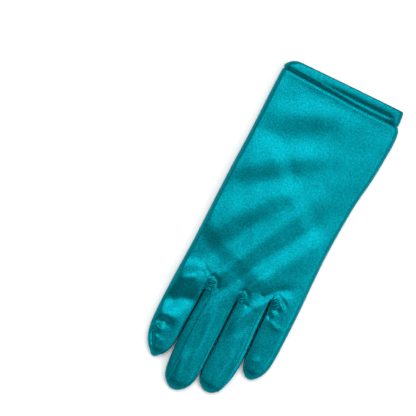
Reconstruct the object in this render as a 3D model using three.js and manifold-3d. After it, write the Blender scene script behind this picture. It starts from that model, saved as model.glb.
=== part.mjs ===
// Wrist-length dress glove of stretch satin, for the left hand. It lies flat with its back up
// and its thumb folded across the palm, under the hand.
// Millimetres. +X runs towards the little finger, +Y from the fingertips to the cuff, +Z up.
// The glove rests on z = 0. Until the last lines, places are given as x and as the distance
// along the glove from the cuff's edge towards the fingertips.

import * as THREE from 'three';
import { mergeVertices } from 'three/addons/utils/BufferGeometryUtils.js';
import Module from 'manifold-3d';

const wasm = await Module();
wasm.setup();

// Cloth and seams
const clothWall = 1.0;
const hemWall = 1.5;
const seamGap = 0.6;

// Hand
const handLength = 160;
const handHeight = 11.4;
const edgeHeight = 2.3;
const edgeRounding = 15;
const floorRounding = 4;
const hemDepth = 11;

// Fingers: width at the knuckles, and how far the tip reaches past the index finger's fork
const indexWidth = 22.2;
const middleWidth = 22.1;
const ringWidth = 20.2;
const littleWidth = 18.9;
const indexReach = 58;
const middleReach = 72.5;
const ringReach = 64.3;
const littleReach = 44.5;
const fingerHeight = 10.6;
const fingerSlit = 0.8;
const fingertipRounding = 11;

// Side strips between the fingers: what shows of a strip above and below, and the height of its fork
const stripAbove = 4.2;
const stripBelow = 3.6;
const forkHeight = 4.8;

// Thumb, folded flat under the palm
const thumbThickness = 2.5;
const thumbClearance = 0.33;
const thumbMouthWidth = 26.8;
const thumbMouthLength = 57.6;
const thumbReach = 51;
const thumbRootWidth = 38;
const thumbTipWidth = 23;
const thumbTipLength = 8.5;

// How far before the forks the hand's section starts to turn into the fingers' sections, and how
// far before them the hand comes down from the thumb under it
const knuckleBlend = 24;
const liftBlend = 11;

// Soft ridges on the back, and creases in the palm
const ridgeHeight = 1.0;
const ridgeWidth = 7.5;
const creaseDepth = 0.7;
const creaseWidth = 3.2;

// Outline of the hand: shares of half the knuckle width, at shares of the hand's length
const handOutline = [
  { along: 0.0, indexSide: 0.75, littleSide: 1.085 },
  { along: 0.02, indexSide: 0.82, littleSide: 1.094 },
  { along: 0.045, indexSide: 0.88, littleSide: 1.099 },
  { along: 0.069, indexSide: 0.905, littleSide: 1.118 },
  { along: 0.094, indexSide: 0.911, littleSide: 1.162 },
  { along: 0.13, indexSide: 0.913, littleSide: 1.168 },
  { along: 0.21, indexSide: 0.918, littleSide: 1.152 },
  { along: 0.33, indexSide: 0.925, littleSide: 1.108 },
  { along: 0.46, indexSide: 0.941, littleSide: 1.04 },
  { along: 0.58, indexSide: 0.955, littleSide: 1.009 },
  { along: 0.71, indexSide: 0.965, littleSide: 0.99 },
  { along: 0.85, indexSide: 0.972, littleSide: 0.994 },
  { along: 1.0, indexSide: 1.0, littleSide: 1.0 },
];

// Height of the back above the floor: shares of the hand's height. It dips at the hem's stitching.
const handRise = [
  { along: 0.0, height: 0.96 },
  { along: 0.02, height: 0.995 },
  { along: 0.045, height: 0.98 },
  { along: 0.069, height: 0.955 },
  { along: 0.09, height: 0.985 },
  { along: 0.13, height: 1.0 },
  { along: 0.5, height: 1.0 },
  { along: 0.85, height: 0.98 },
  { along: 1.0, height: 0.96 },
];

// Where the forks lie between the fingers: shares of the hand's length
const forkAlong = [1.0, 1.0, 0.994, 0.956, 0.956];

// Fingers from the index to the little finger. Lean and pointed length are shares of the width.
const fingers = [
  { name: 'index', width: indexWidth, reach: indexReach, lean: -0.07, pointed: 0.78, bluntness: 0.62 },
  { name: 'middle', width: middleWidth, reach: middleReach, lean: -0.06, pointed: 0.66, bluntness: 0.5 },
  { name: 'ring', width: ringWidth, reach: ringReach, lean: -0.05, pointed: 0.7, bluntness: 0.5 },
  { name: 'little', width: littleWidth, reach: littleReach, lean: -0.04, pointed: 0.72, bluntness: 0.58 },
];

// Ridges on the back, each from one end to the other. Across is a share of half the knuckle
// width, along a share of the hand's length, height and width are shares of the ridge sizes.
const ridges = [
  { across: -0.95, along: 0.235, toAcross: 0.5, toAlong: 0.13, height: 0.45, width: 1.1 },
  { across: -0.9, along: 0.45, toAcross: 0.3, toAlong: 0.3, height: 0.7, width: 1.0 },
  { across: -0.75, along: 0.73, toAcross: 0.35, toAlong: 0.44, height: 0.75, width: 1.0 },
  { across: -0.45, along: 0.93, toAcross: 0.5, toAlong: 0.52, height: 1.0, width: 0.95 },
  { across: 0.05, along: 0.97, toAcross: 0.8, toAlong: 0.58, height: 1.0, width: 1.0 },
  { across: -0.85, along: 0.98, toAcross: -0.55, toAlong: 0.92, height: 0.6, width: 0.8 },
];

// Creases drawn into the palm from the thumb's mouth towards the little finger's side
const creases = [
  { across: -0.25, along: 0.43, toAcross: 0.42, toAlong: 0.44, depth: 0.7 },
  { across: -0.22, along: 0.47, toAcross: 0.55, toAlong: 0.53, depth: 1.0 },
  { across: 0.3, along: 0.945, toAcross: 0.82, toAlong: 0.85, depth: 0.8 },
];

// Where the thumb lies: its mouth in the palm and its fold, in shares as above, and its angles in
// degrees from the glove's length
const thumbPlace = {
  mouthAcross: -0.545,
  mouthAlong: 0.597,
  mouthTurn: 8,
  foldAcross: -0.33,
  foldAlong: 0.66,
  lean: 63,
  rootTurn: 13,
  tipTurn: 36,
};

// Steps around and along the skins
const topSteps = 6;
const bottomSteps = 4;
const sideSteps = 4;
const palmRows = 20;

// Shape of a finger's section
const sectionPower = 2.5;
const sideAngle = 0.9;
const floorFlat = 0.35;
const endHeight = 0.32;

const degrees = THREE.MathUtils.degToRad;
const lerp = THREE.MathUtils.lerp;
const smooth = (value, from, to) => THREE.MathUtils.smoothstep(value, from, to);

// A table's column as a smooth curve through its rows
function curveOf(table, column) {
  const at = table.map((row) => row.along);
  const value = table.map((row) => row[column]);
  const slope = value.map((v, i) => {
    const before = Math.max(i - 1, 0);
    const after = Math.min(i + 1, value.length - 1);
    return (value[after] - value[before]) / (at[after] - at[before]);
  });
  return (x) => {
    const clamped = Math.min(Math.max(x, at[0]), at[at.length - 1]);
    let i = 0;
    while (i < at.length - 2 && clamped > at[i + 1]) i += 1;
    const span = at[i + 1] - at[i];
    const t = (clamped - at[i]) / span;
    const bend = t * t * (3 - 2 * t);
    const ease = t * (1 - t) * (1 - t) * slope[i] * span - t * t * (1 - t) * slope[i + 1] * span;
    return lerp(value[i], value[i + 1], bend) + ease;
  };
}

// Distance from a point to a straight stretch, in plan
function distanceToStretch(x, along, stretch) {
  const [ax, as, bx, bs] = stretch;
  const length2 = (bx - ax) ** 2 + (bs - as) ** 2;
  const t = THREE.MathUtils.clamp(((x - ax) * (bx - ax) + (along - as) * (bs - as)) / length2, 0, 1);
  return Math.hypot(x - lerp(ax, bx, t), along - lerp(as, bs, t));
}

// Knuckles: the fingers side by side with a slit between them
const knuckleWidth = fingers.reduce((sum, finger) => sum + finger.width, 0) + 3 * fingerSlit;
const halfKnuckles = knuckleWidth / 2;
let edge = -halfKnuckles;
for (const finger of fingers) {
  finger.left = edge;
  finger.right = edge + finger.width;
  edge = finger.right + fingerSlit;
}
fingers.forEach((finger, i) => {
  finger.index = i;
  finger.leftFork = forkAlong[i] * handLength;
  finger.rightFork = forkAlong[i + 1] * handLength;
  finger.tipAlong = handLength + finger.reach;
  finger.centre = (finger.left + finger.right) / 2;
});

// Folds in the cloth
const stretchOf = (fold) => [
  fold.across * halfKnuckles,
  fold.along * handLength,
  fold.toAcross * halfKnuckles,
  fold.toAlong * handLength,
];

function ridgeAt(x, along) {
  return ridges.reduce((sum, ridge) => {
    const away = distanceToStretch(x, along, stretchOf(ridge)) / (ridgeWidth * ridge.width);
    return sum + ridgeHeight * ridge.height * Math.exp(-away * away);
  }, 0);
}

function creaseAt(x, along) {
  return creases.reduce((sum, crease) => {
    const away = distanceToStretch(x, along, stretchOf(crease)) / creaseWidth;
    return sum + creaseDepth * crease.depth * Math.exp(-away * away);
  }, 0);
}

// The thumb in plan: the oval of its mouth, and the flat tube from the fold to the tip
const mouthCentre = [thumbPlace.mouthAcross * halfKnuckles, thumbPlace.mouthAlong * handLength];
const foldCentre = [thumbPlace.foldAcross * halfKnuckles, thumbPlace.foldAlong * handLength];

function mouthPoint(angle, grow) {
  const out = (thumbMouthWidth / 2 + grow) * Math.cos(angle);
  const back = (thumbMouthLength / 2 + grow) * Math.sin(angle);
  const turn = degrees(thumbPlace.mouthTurn);
  return [
    mouthCentre[0] + out * Math.cos(turn) - back * Math.sin(turn),
    mouthCentre[1] - out * Math.sin(turn) - back * Math.cos(turn),
  ];
}

// A point of the tube's outline, moved in by inset. Reach is 0 at the fold, 1 where the tip's
// rounding starts and 2 at the tip; side is 1 at the edge nearest the cuff and -1 at the other.
function tubePoint(reach, side, inset) {
  const lean = degrees(thumbPlace.lean);
  const turn = degrees(lerp(thumbPlace.rootTurn, thumbPlace.tipTurn, Math.min(reach, 1)));
  const rounding = Math.max(reach - 1, 0);
  const tapered = lerp(thumbRootWidth, thumbTipWidth, Math.min(reach, 1)) - 2 * inset;
  const width = tapered * Math.sqrt(1 - rounding * rounding);
  const onAxis = Math.min(reach, 1) * thumbReach;
  const past = rounding * (thumbTipLength - inset);
  return [
    foldCentre[0] + onAxis * Math.sin(lean) + (side * width * Math.sin(turn)) / 2 + past * Math.cos(turn),
    foldCentre[1] + onAxis * Math.cos(lean) - (side * width * Math.cos(turn)) / 2 + past * Math.sin(turn),
  ];
}

const thumbFootprint = [
  ...[0.5, 0.75, 1, 1.25, 1.5].map((turn) => mouthPoint(turn * Math.PI, 0)),
  ...[0.5, 1, 1.6].map((reach) => tubePoint(reach, -1, 0)),
  ...[1.6, 1, 0.5].map((reach) => tubePoint(reach, 1, 0)),
];

function distanceToThumb(x, along) {
  let inside = false;
  let nearest = Infinity;
  thumbFootprint.forEach(([ax, as], i) => {
    const [bx, bs] = thumbFootprint[(i + 1) % thumbFootprint.length];
    nearest = Math.min(nearest, distanceToStretch(x, along, [ax, as, bx, bs]));
    if (as > along !== bs > along && x < ax + ((along - as) * (bx - ax)) / (bs - as)) inside = !inside;
  });
  return inside ? 0 : nearest;
}

// How far the palm is lifted off the floor by the thumb that lies under it
const liftHeight = thumbThickness + thumbClearance;
const liftMargin = 6;
const liftFall = 12;
const liftAt = (x, along) => liftHeight * (1 - smooth(distanceToThumb(x, along), liftMargin, liftMargin + liftFall));

// The hand's skin away from the knuckles
const indexSideAt = curveOf(handOutline, 'indexSide');
const littleSideAt = curveOf(handOutline, 'littleSide');
const riseAt = curveOf(handRise, 'height');
const leftEdge = (along) => -halfKnuckles * indexSideAt(along / handLength);
const rightEdge = (along) => halfKnuckles * littleSideAt(along / handLength);
const fullness = (away, over) => Math.sqrt(1 - (1 - Math.min(away / over, 1)) ** 2.4);

const edgeDistance = (x, along) => Math.max(Math.min(x - leftEdge(along), rightEdge(along) - x), 0);

// Height of the back and of the palm while no thumb lies under them, and the share of the
// thumb's lift that each takes on
function backHeight(x, along) {
  const crown = handHeight * riseAt(along / handLength) + ridgeAt(x, along);
  return lerp(edgeHeight, crown, fullness(edgeDistance(x, along), edgeRounding));
}

function palmHeight(x, along) {
  const away = edgeDistance(x, along);
  const onFloor = 1 - liftAt(x, along) / liftHeight;
  const crease = onFloor * creaseAt(x, along) * smooth(away, floorRounding, 3 * floorRounding);
  return lerp(edgeHeight, crease, fullness(away, floorRounding));
}

const backLiftShare = (x, along) => lerp(1, 0.25, fullness(edgeDistance(x, along), edgeRounding));

// A finger's skin, moved in by inset. Reach is 0 at its forks and 1 at its tip, turn goes round
// the section from the side nearest the little finger (0) over the top (a quarter turn).
function seamTurn(finger, reach, shown) {
  const width = shown * smooth(reach, 0, 0.28) * (1 - 0.75 * smooth(reach, 0.55, 0.88));
  const half = finger.width / 2;
  const atFork = Math.asin((forkHeight / fingerHeight) ** (sectionPower / 2));
  const turn = Math.acos(((half - width) / half) ** (sectionPower / 2));
  return Math.max(turn, lerp(atFork, 0.25, smooth(reach, 0, 0.1)));
}

function fingerPoint(finger, reach, turn, inset = 0) {
  const length = finger.tipAlong - (finger.leftFork + finger.rightFork) / 2;
  const toTip = (1 - reach) * length;
  const round = 1 - Math.min(toTip / (finger.pointed * finger.width), 1);
  const half = (finger.width / 2 - inset) * (1 - round ** 2) ** finger.bluntness;
  const blunt = 1 - Math.min(toTip / fingertipRounding, 1);
  const top = fingerHeight * Math.max(Math.sqrt(1 - blunt ** 2), endHeight) - 2 * inset;
  const rise = top / 2 + floorFlat;
  const cos = Math.cos(turn);
  const sin = Math.sin(turn);
  const out = Math.sign(cos) * Math.abs(cos) ** (2 / sectionPower);
  const up = Math.sign(sin) * Math.abs(sin) ** (2 / sectionPower);
  const fork = lerp(finger.leftFork, finger.rightFork, (out + 1) / 2);
  return [
    finger.centre + finger.lean * finger.width * reach + half * out,
    lerp(fork, finger.tipAlong, reach) - inset * round,
    Math.max(top - rise + rise * up, 0) + inset,
  ];
}

// The turn that a seam's gap takes up on a finger's skin, from a turn and to one side of it
function seamTurns(finger, reach, turn, side) {
  const step = 0.03;
  const here = new THREE.Vector3(...fingerPoint(finger, reach, turn));
  return (step * seamGap) / here.distanceTo(new THREE.Vector3(...fingerPoint(finger, reach, turn + side * step)));
}

// A skin is a list of points and of faces, each face marked with the piece that it belongs to
class Skin {
  points = [];
  inner = [];
  faces = [];
  sewn = [];

  // A point of the outer surface and, where it is known, its partner on the inner surface
  point([x, along, z], inner) {
    this.points.push(new THREE.Vector3(x, -along, z));
    this.inner.push(inner && new THREE.Vector3(inner[0], -inner[1], inner[2]));
    return this.points.length - 1;
  }

  face(piece, ...corners) {
    this.faces.push({ piece, corners });
  }

  // Faces between two rows of points, where each row is a list of point numbers
  strip(piece, row, next) {
    for (let i = 0; i + 1 < row.length; i += 1) this.face(piece, row[i], next[i], next[i + 1], row[i + 1]);
  }

  // A seam: two rows of points that face each other across it. Both pieces turn in alike there.
  seam(row, next) {
    this.strip('seam', row, next);
    row.forEach((point, i) => this.sewn.push([point, next[i]]));
  }

  // Where each point moves when all faces move in by one. Where faces meet at an angle this is
  // the best fit to their planes, held back a little towards their mean direction.
  offsets() {
    const holdBack = 0.5;
    const longest = 1.5;
    const first = this.points.map((_, i) => i);
    const firstOf = (i) => (first[i] === i ? i : firstOf(first[i]));
    for (const [a, b] of this.sewn) first[firstOf(a)] = firstOf(b);
    const facing = this.points.map(() => []);
    for (const { corners } of this.faces) {
      const [a, b, c, d] = corners.map((corner) => this.points[corner]);
      const across = new THREE.Vector3().subVectors(c, a);
      const other = new THREE.Vector3().subVectors(d ?? b, d ? b : a);
      const unit = d ? across.cross(other) : other.cross(across);
      for (const corner of corners) facing[firstOf(corner)].push(unit.normalize());
    }
    return this.points.map((_, i) => {
      const units = facing[firstOf(i)];
      const sum = units.reduce((total, unit) => total.add(unit), new THREE.Vector3());
      const mean = sum.clone().normalize();
      const product = (a, b) => units.reduce((total, unit) => total + unit[a] * unit[b], a === b ? holdBack : 0);
      const [xy, xz, yz] = [product('x', 'y'), product('x', 'z'), product('y', 'z')];
      const planes = new THREE.Matrix3();
      planes.set(product('x', 'x'), xy, xz, xy, product('y', 'y'), yz, xz, yz, product('z', 'z'));
      return sum.addScaledVector(mean, holdBack).applyMatrix3(planes.invert()).clampLength(0, longest);
    });
  }
}

// One piece of a skin as a closed wall: its outer faces, the same faces moved in, and its edges
function wallOf(skin, piece, thickness, offsets) {
  const position = [];
  const number = new Map();
  const cornersOf = (point) => {
    if (!number.has(point)) {
      number.set(point, position.length / 3);
      const outer = skin.points[point];
      const inner = skin.inner[point] ?? outer.clone().addScaledVector(offsets[point], -thickness);
      position.push(...outer.toArray(), ...inner.toArray());
    }
    return number.get(point);
  };
  const index = [];
  const open = new Map();
  for (const face of skin.faces) {
    if (face.piece !== piece) continue;
    const outer = face.corners.map(cornersOf);
    const inner = outer.map((corner) => corner + 1);
    for (let i = 1; i + 1 < outer.length; i += 1) {
      index.push(outer[0], outer[i], outer[i + 1], inner[0], inner[i + 1], inner[i]);
    }
    outer.forEach((from, i) => {
      const to = outer[(i + 1) % outer.length];
      if (!open.delete(`${to} ${from}`)) open.set(`${from} ${to}`, [from, to]);
    });
  }
  for (const [from, to] of open.values()) index.push(from, from + 1, to + 1, from, to + 1, to);
  const geometry = new THREE.BufferGeometry();
  geometry.setAttribute('position', new THREE.Float32BufferAttribute(position, 3));
  geometry.setIndex(index);
  return geometry;
}

// The skin of the hand and the four fingers. Every row runs over the back from the index side to
// the little finger's side and returns under the palm.
function buildHandSkin() {
  const skin = new Skin();
  const last = fingers.length - 1;
  const steps = (count) => Array.from({ length: count + 1 }, (_, i) => i / count);

  // Turns of a finger's columns, by zone, in the order in which a row passes them
  const turnsOf = (finger, reach) => {
    const outer = { above: sideAngle, below: sideAngle };
    const seam = { above: seamTurn(finger, reach, stripAbove), below: seamTurn(finger, reach, stripBelow) };
    const right = finger.index === last ? outer : seam;
    const left = finger.index === 0 ? outer : seam;
    return {
      top: steps(topSteps).map((t) => lerp(Math.PI - left.above, right.above, t)),
      right: steps(sideSteps).map((t) => lerp(right.above, -right.below, t)),
      bottom: steps(bottomSteps).map((t) => lerp(-right.below, left.below - Math.PI, t)),
      left: steps(sideSteps).map((t) => lerp(Math.PI + left.below, Math.PI - left.above, t)),
    };
  };

  // The row at the knuckles, and the rows of the hand that lead to it
  const sideLift = [1, 0.42, 0, -0.42, -1];
  const sideSpan = 3.4;
  const atFork = fingers.map((finger) => turnsOf(finger, 0));
  const column = (zone, finger, turn, step) => ({ zone, step, fork: fingerPoint(finger, 0, turn) });
  const zoneColumns = (zone, finger) => atFork[finger.index][zone].map((turn, i) => column(zone, finger, turn, i));
  const columns = [
    ...fingers.flatMap((finger) => zoneColumns('top', finger)),
    ...zoneColumns('right', fingers[last]).slice(1, -1),
    ...[...fingers].reverse().flatMap((finger) => zoneColumns('bottom', finger)),
    ...zoneColumns('left', fingers[0]).slice(1, -1),
  ];
  const shareOf = (zone) => {
    const ends = columns.filter((c) => c.zone === zone).map((c) => c.fork[0]);
    return (x) => (x - Math.min(...ends)) / (Math.max(...ends) - Math.min(...ends));
  };
  const share = { top: shareOf('top'), bottom: shareOf('bottom') };

  const handPoint = ({ zone, step, fork }, along) => {
    const left = leftEdge(along);
    const right = rightEdge(along);
    let x = lerp(left + sideSpan, right - sideSpan, zone in share ? share[zone](fork[0]) : 0);
    let above = zone === 'top';
    if (!(zone in share)) {
      const raised = zone === 'right' ? sideLift[step] : -sideLift[step];
      const inward = sideSpan * raised * raised;
      x = zone === 'right' ? right - inward : left + inward;
      above = raised > 0;
    }
    const z = above ? backHeight(x, along) : palmHeight(x, along);
    return [x, z, above ? backLiftShare(x, along) : 1];
  };

  const handRow = (toFork, from) =>
    columns.map((c) => {
      const along = lerp(from, c.fork[1], toFork);
      const [x, z, liftShare] = handPoint(c, along);
      const blend = smooth(along, c.fork[1] - knuckleBlend, c.fork[1]);
      const lift = liftShare * liftAt(x, along) * (1 - smooth(along, c.fork[1] - liftBlend, c.fork[1]));
      return skin.point([lerp(x, c.fork[0], blend), along, lerp(z, c.fork[2], blend) + lift]);
    });

  const hemRows = [0, 0.22, 0.48, 0.74, 1].map((t) => handRow((t * (hemDepth - seamGap)) / handLength, 0));
  const handRows = steps(palmRows).map((t) => handRow(t, hemDepth));
  const close = (row) => [...row, row[0]];
  for (let i = 0; i + 1 < hemRows.length; i += 1) skin.strip('cuff_hem', close(hemRows[i]), close(hemRows[i + 1]));
  skin.seam(close(hemRows.at(-1)), close(handRows[0]));
  for (let i = 0; i + 1 < handRows.length; i += 1) skin.strip('hand_shell', close(handRows[i]), close(handRows[i + 1]));

  // Point numbers of the knuckle row, by finger
  const knuckles = handRows.at(-1);
  const topOf = (k) => knuckles.slice(k * (topSteps + 1), (k + 1) * (topSteps + 1));
  const bottomStart = fingers.length * (topSteps + 1) + sideSteps - 1;
  const bottomOf = (k) => {
    const from = bottomStart + (last - k) * (bottomSteps + 1);
    return knuckles.slice(from, from + bottomSteps + 1);
  };
  const rightSide = knuckles.slice(bottomStart - (sideSteps - 1), bottomStart);
  const leftSide = knuckles.slice(-(sideSteps - 1));

  // The fork of each side strip: a short upright line between two fingers
  const forks = fingers.slice(0, last).map((finger, k) => {
    const above = skin.points[topOf(k).at(-1)];
    const below = skin.points[bottomOf(k)[0]];
    const x = finger.right + fingerSlit / 2;
    const along = finger.rightFork + seamGap;
    const points = steps(sideSteps).map((t) => {
      const z = lerp(above.z - seamGap, below.z + seamGap, t);
      return skin.point([x, along, z]);
    });
    skin.face('seam', topOf(k).at(-1), points[0], topOf(k + 1)[0]);
    skin.face('seam', bottomOf(k)[0], bottomOf(k + 1).at(-1), points.at(-1));
    skin.sewn.push([topOf(k + 1)[0], points[0]], [bottomOf(k + 1).at(-1), points.at(-1)]);
    return points;
  });

  for (const finger of fingers) {
    const k = finger.index;
    const length = finger.tipAlong - (finger.leftFork + finger.rightFork) / 2;
    const tip = 1 - (finger.pointed * finger.width) / length;
    const stripEnd = lerp(tip, 1, 0.4);
    const reaches = [0.05, 0.15, 0.3, 0.5, 0.75].map((t) => t * tip);
    const before = [0, ...reaches, tip, stripEnd];
    const after = [stripEnd + seamGap / length, lerp(tip, 1, 0.66), lerp(tip, 1, 0.85), lerp(tip, 1, 0.94)];
    const leftStrip = k > 0 ? `fourchette_${fingers[k - 1].name}_${finger.name}` : 'hand_shell';
    const rightStrip = k < last ? `fourchette_${finger.name}_${fingers[k + 1].name}` : 'hand_shell';
    let previous = {
      top: topOf(k),
      right: k < last ? forks[k] : rightSide,
      bottom: bottomOf(k),
      left: k > 0 ? [...forks[k - 1]].reverse() : leftSide,
    };
    const inSeam = (zone) => (zone === 'right' && k < last) || (zone === 'left' && k > 0);
    [...before.slice(1), ...after].forEach((reach, i) => {
      const turns = turnsOf(finger, reach);
      const row = {};
      for (const zone of ['top', 'right', 'bottom', 'left']) {
        let list = turns[zone];
        if (inSeam(zone) && i < before.length) {
          const from = list[0] - seamTurns(finger, reach, list[0], -1);
          const to = list.at(-1) + seamTurns(finger, reach, list.at(-1), 1);
          list = steps(sideSteps).map((t) => lerp(from, to, t));
        } else if (inSeam(zone)) {
          list = steps(sideSteps + 2).slice(1, -1).map((t) => lerp(list[0], list.at(-1), t));
        } else if (zone === 'right' || zone === 'left') {
          list = list.slice(1, -1);
        }
        const inner = (turn) => (i < before.length ? undefined : fingerPoint(finger, reach, turn, clothWall));
        row[zone] = list.map((turn) => skin.point(fingerPoint(finger, reach, turn), inner(turn)));
      }
      const stripRow = i < before.length - 1;
      const gapRow = i === before.length - 1;
      skin.strip('hand_shell', previous.top, row.top);
      skin.strip('hand_shell', previous.bottom, row.bottom);
      for (const [zone, ahead, behind, strip] of [
        ['right', 'top', 'bottom', rightStrip],
        ['left', 'bottom', 'top', leftStrip],
      ]) {
        const seamed = inSeam(zone) && (stripRow || gapRow);
        const beside = seamed ? 'seam' : 'hand_shell';
        skin.strip(beside, [previous[ahead].at(-1), previous[zone][0]], [row[ahead].at(-1), row[zone][0]]);
        skin.strip(beside, [previous[zone].at(-1), previous[behind][0]], [row[zone].at(-1), row[behind][0]]);
        if (seamed && gapRow) skin.seam(previous[zone], row[zone]);
        else skin.strip(seamed ? strip : 'hand_shell', previous[zone], row[zone]);
        if (seamed) {
          skin.sewn.push([previous[ahead].at(-1), previous[zone][0]], [previous[zone].at(-1), previous[behind][0]]);
        }
      }
      previous = row;
    });

    // The tip closes on one point
    const round = [...previous.top, ...previous.right, ...previous.bottom, ...previous.left];
    const tipX = finger.centre + finger.lean * finger.width;
    const tipZ = (endHeight * fingerHeight) / 2;
    const tipPoint = skin.point([tipX, finger.tipAlong, tipZ], [tipX, finger.tipAlong - clothWall, tipZ]);
    round.forEach((point, i) => skin.face('hand_shell', point, tipPoint, round[(i + 1) % round.length]));
  }
  return skin;
}

// The thumb's skin: a collar in the palm's oval hole, which folds over into a flat tube
function buildThumbSkin() {
  const skin = new Skin();
  const radius = thumbThickness / 2;

  // Columns round the tube: over its flat top to the cuff's side, round that edge, back under its
  // flat underside and round the other edge. Each starts from its own angle on the mouth.
  const flatSteps = 8;
  const edgeSteps = [1, 2, 3];
  const half = (upper, from, turn, edgeTurn) => [
    ...Array.from({ length: flatSteps + 1 }, (_, i) => ({
      angle: degrees(from + (turn * i) / flatSteps),
      side: (upper ? 1 : -1) * ((2 * i) / flatSteps - 1),
      bulge: 0,
      height: upper ? 1 : 0,
    })),
    ...edgeSteps.map((i) => ({
      angle: degrees(from + turn + edgeTurn * i),
      side: upper ? 1 : -1,
      bulge: Math.sin(degrees(45 * i)),
      height: (1 + (upper ? 1 : -1) * Math.cos(degrees(45 * i))) / 2,
    })),
  ];
  const columns = [...half(true, -90, 144, 6), ...half(false, 78, 168, 6)];

  const tubeRow = (reach, inset) =>
    columns.map(({ side, bulge, height }) => {
      const [edgeX, edgeAlong] = tubePoint(reach, side, inset);
      const [farX, farAlong] = tubePoint(reach, -side, inset);
      const width = Math.hypot(edgeX - farX, edgeAlong - farAlong) || 1;
      const inward = ((1 - bulge) * (radius - inset)) / width;
      const z = radius + (2 * height - 1) * (radius - inset);
      return [lerp(edgeX, farX, inward), lerp(edgeAlong, farAlong, inward), z];
    });

  // The collar stands in the mouth, down to the floor on one side and to the tube's top on the
  // other, and from its foot the cloth runs on to the first row of the tube
  const firstReach = 0.2;
  const mouthRow = (share, inset) =>
    tubeRow(firstReach, inset).map(([x, along, z], j) => {
      const [mouthX, mouthAlong] = mouthPoint(columns[j].angle, -seamGap - inset);
      return [lerp(mouthX, x, share), lerp(mouthAlong, along, share), z];
    });
  const collarTop = (inset) => mouthRow(0, inset).map(([x, along]) => [x, along, liftHeight + clothWall]);
  const rowShapes = [
    collarTop,
    ...[0, 0.35, 0.7].map((share) => (inset) => mouthRow(share, inset)),
    ...[firstReach, 0.4, 0.6, 0.8, 1, 1.5, 1.8, 1.96].map((reach) => (inset) => tubeRow(reach, inset)),
  ];
  const rows = rowShapes.map((shape) => {
    const inner = shape(clothWall);
    return shape(0).map((place, j) => skin.point(place, inner[j]));
  });
  for (let i = 0; i + 1 < rows.length; i += 1) {
    skin.strip('thumb', [...rows[i], rows[i][0]], [...rows[i + 1], rows[i + 1][0]]);
  }
  const [tip, innerTip] = [0, clothWall].map((inset) => [...tubePoint(2, 0, inset), radius]);
  const tipNumber = skin.point(tip, innerTip);
  const end = rows.at(-1);
  end.forEach((point, i) => skin.face('thumb', point, tipNumber, end[(i + 1) % end.length]));
  return skin;
}

// Solids for cutting
function solidOf(geometry) {
  const merged = mergeVertices(geometry, 1e-4);
  const mesh = new wasm.Mesh({
    numProp: 3,
    vertProperties: merged.attributes.position.array,
    triVerts: new Uint32Array(merged.index.array),
  });
  return new wasm.Manifold(mesh);
}

function geometryOf(solid) {
  const mesh = solid.getMesh();
  const geometry = new THREE.BufferGeometry();
  geometry.setAttribute('position', new THREE.BufferAttribute(new Float32Array(mesh.vertProperties), 3));
  geometry.setIndex(new THREE.BufferAttribute(new Uint32Array(mesh.triVerts), 1));
  return geometry;
}

// The oval hole that the thumb is sewn into, as an upright block through the palm only
function mouthBlock() {
  const outline = new THREE.Shape(
    Array.from({ length: 28 }, (_, i) => {
      const [x, along] = mouthPoint((i / 28) * 2 * Math.PI, 0);
      return new THREE.Vector2(x, -along);
    }),
  );
  const block = new THREE.ExtrudeGeometry(outline, { depth: liftHeight + 3 * clothWall, bevelEnabled: false });
  block.translate(0, 0, -clothWall);
  block.deleteAttribute('normal');
  block.deleteAttribute('uv');
  return block;
}

// Colours of the satin as it lies: the thumb and the side strips catch less light
const satin = { color: 0x0a8f9c, roughness: 0.38, metalness: 0.35 };
const shaded = { ...satin, color: 0x087f8c };

const glove = new THREE.Group();

function add(name, geometry, finish) {
  const mesh = new THREE.Mesh(geometry, new THREE.MeshStandardMaterial(finish));
  mesh.name = name;
  glove.add(mesh);
}

const handSkin = buildHandSkin();
const handOffsets = handSkin.offsets();
const handWall = solidOf(wallOf(handSkin, 'hand_shell', clothWall, handOffsets));
add('hand_shell', geometryOf(handWall.subtract(solidOf(mouthBlock()))), satin);
add('cuff_hem', wallOf(handSkin, 'cuff_hem', hemWall, handOffsets), satin);
for (let k = 0; k + 1 < fingers.length; k += 1) {
  const name = `fourchette_${fingers[k].name}_${fingers[k + 1].name}`;
  add(name, wallOf(handSkin, name, clothWall, handOffsets), shaded);
}
const thumbSkin = buildThumbSkin();
add('thumb', wallOf(thumbSkin, 'thumb', clothWall, thumbSkin.offsets()), shaded);

// The glove's origin is the middle of the ground that it covers
const size = new THREE.Box3().setFromObject(glove);
const middle = size.getCenter(new THREE.Vector3());
glove.position.set(-middle.x, -middle.y, 0);
glove.updateMatrixWorld(true);

export default glove;
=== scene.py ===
import math

import bmesh
import bpy
import numpy as np
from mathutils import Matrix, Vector


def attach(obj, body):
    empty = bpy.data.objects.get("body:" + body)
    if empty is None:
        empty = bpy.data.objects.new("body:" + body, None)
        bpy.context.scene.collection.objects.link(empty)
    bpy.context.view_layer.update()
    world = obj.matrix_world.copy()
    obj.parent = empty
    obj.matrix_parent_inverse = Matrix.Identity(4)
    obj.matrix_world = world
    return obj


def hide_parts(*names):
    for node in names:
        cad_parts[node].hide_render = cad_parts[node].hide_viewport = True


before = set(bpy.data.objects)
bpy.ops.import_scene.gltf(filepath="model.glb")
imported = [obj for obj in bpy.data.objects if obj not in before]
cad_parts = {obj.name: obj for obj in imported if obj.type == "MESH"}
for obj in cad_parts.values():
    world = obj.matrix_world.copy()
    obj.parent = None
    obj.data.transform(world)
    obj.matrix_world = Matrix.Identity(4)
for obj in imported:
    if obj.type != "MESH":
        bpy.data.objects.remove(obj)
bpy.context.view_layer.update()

# Working places are millimetres: x across the glove, along from the cuff's edge to the
# fingertips, z up from the surface. toRow turns them into the frame's metres. The tables below
# were measured from another origin, as x and s, and placeShift brings them to the glove's own.
gloveLength = 232.5
placeShift = (0.26, 3.0)


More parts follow.
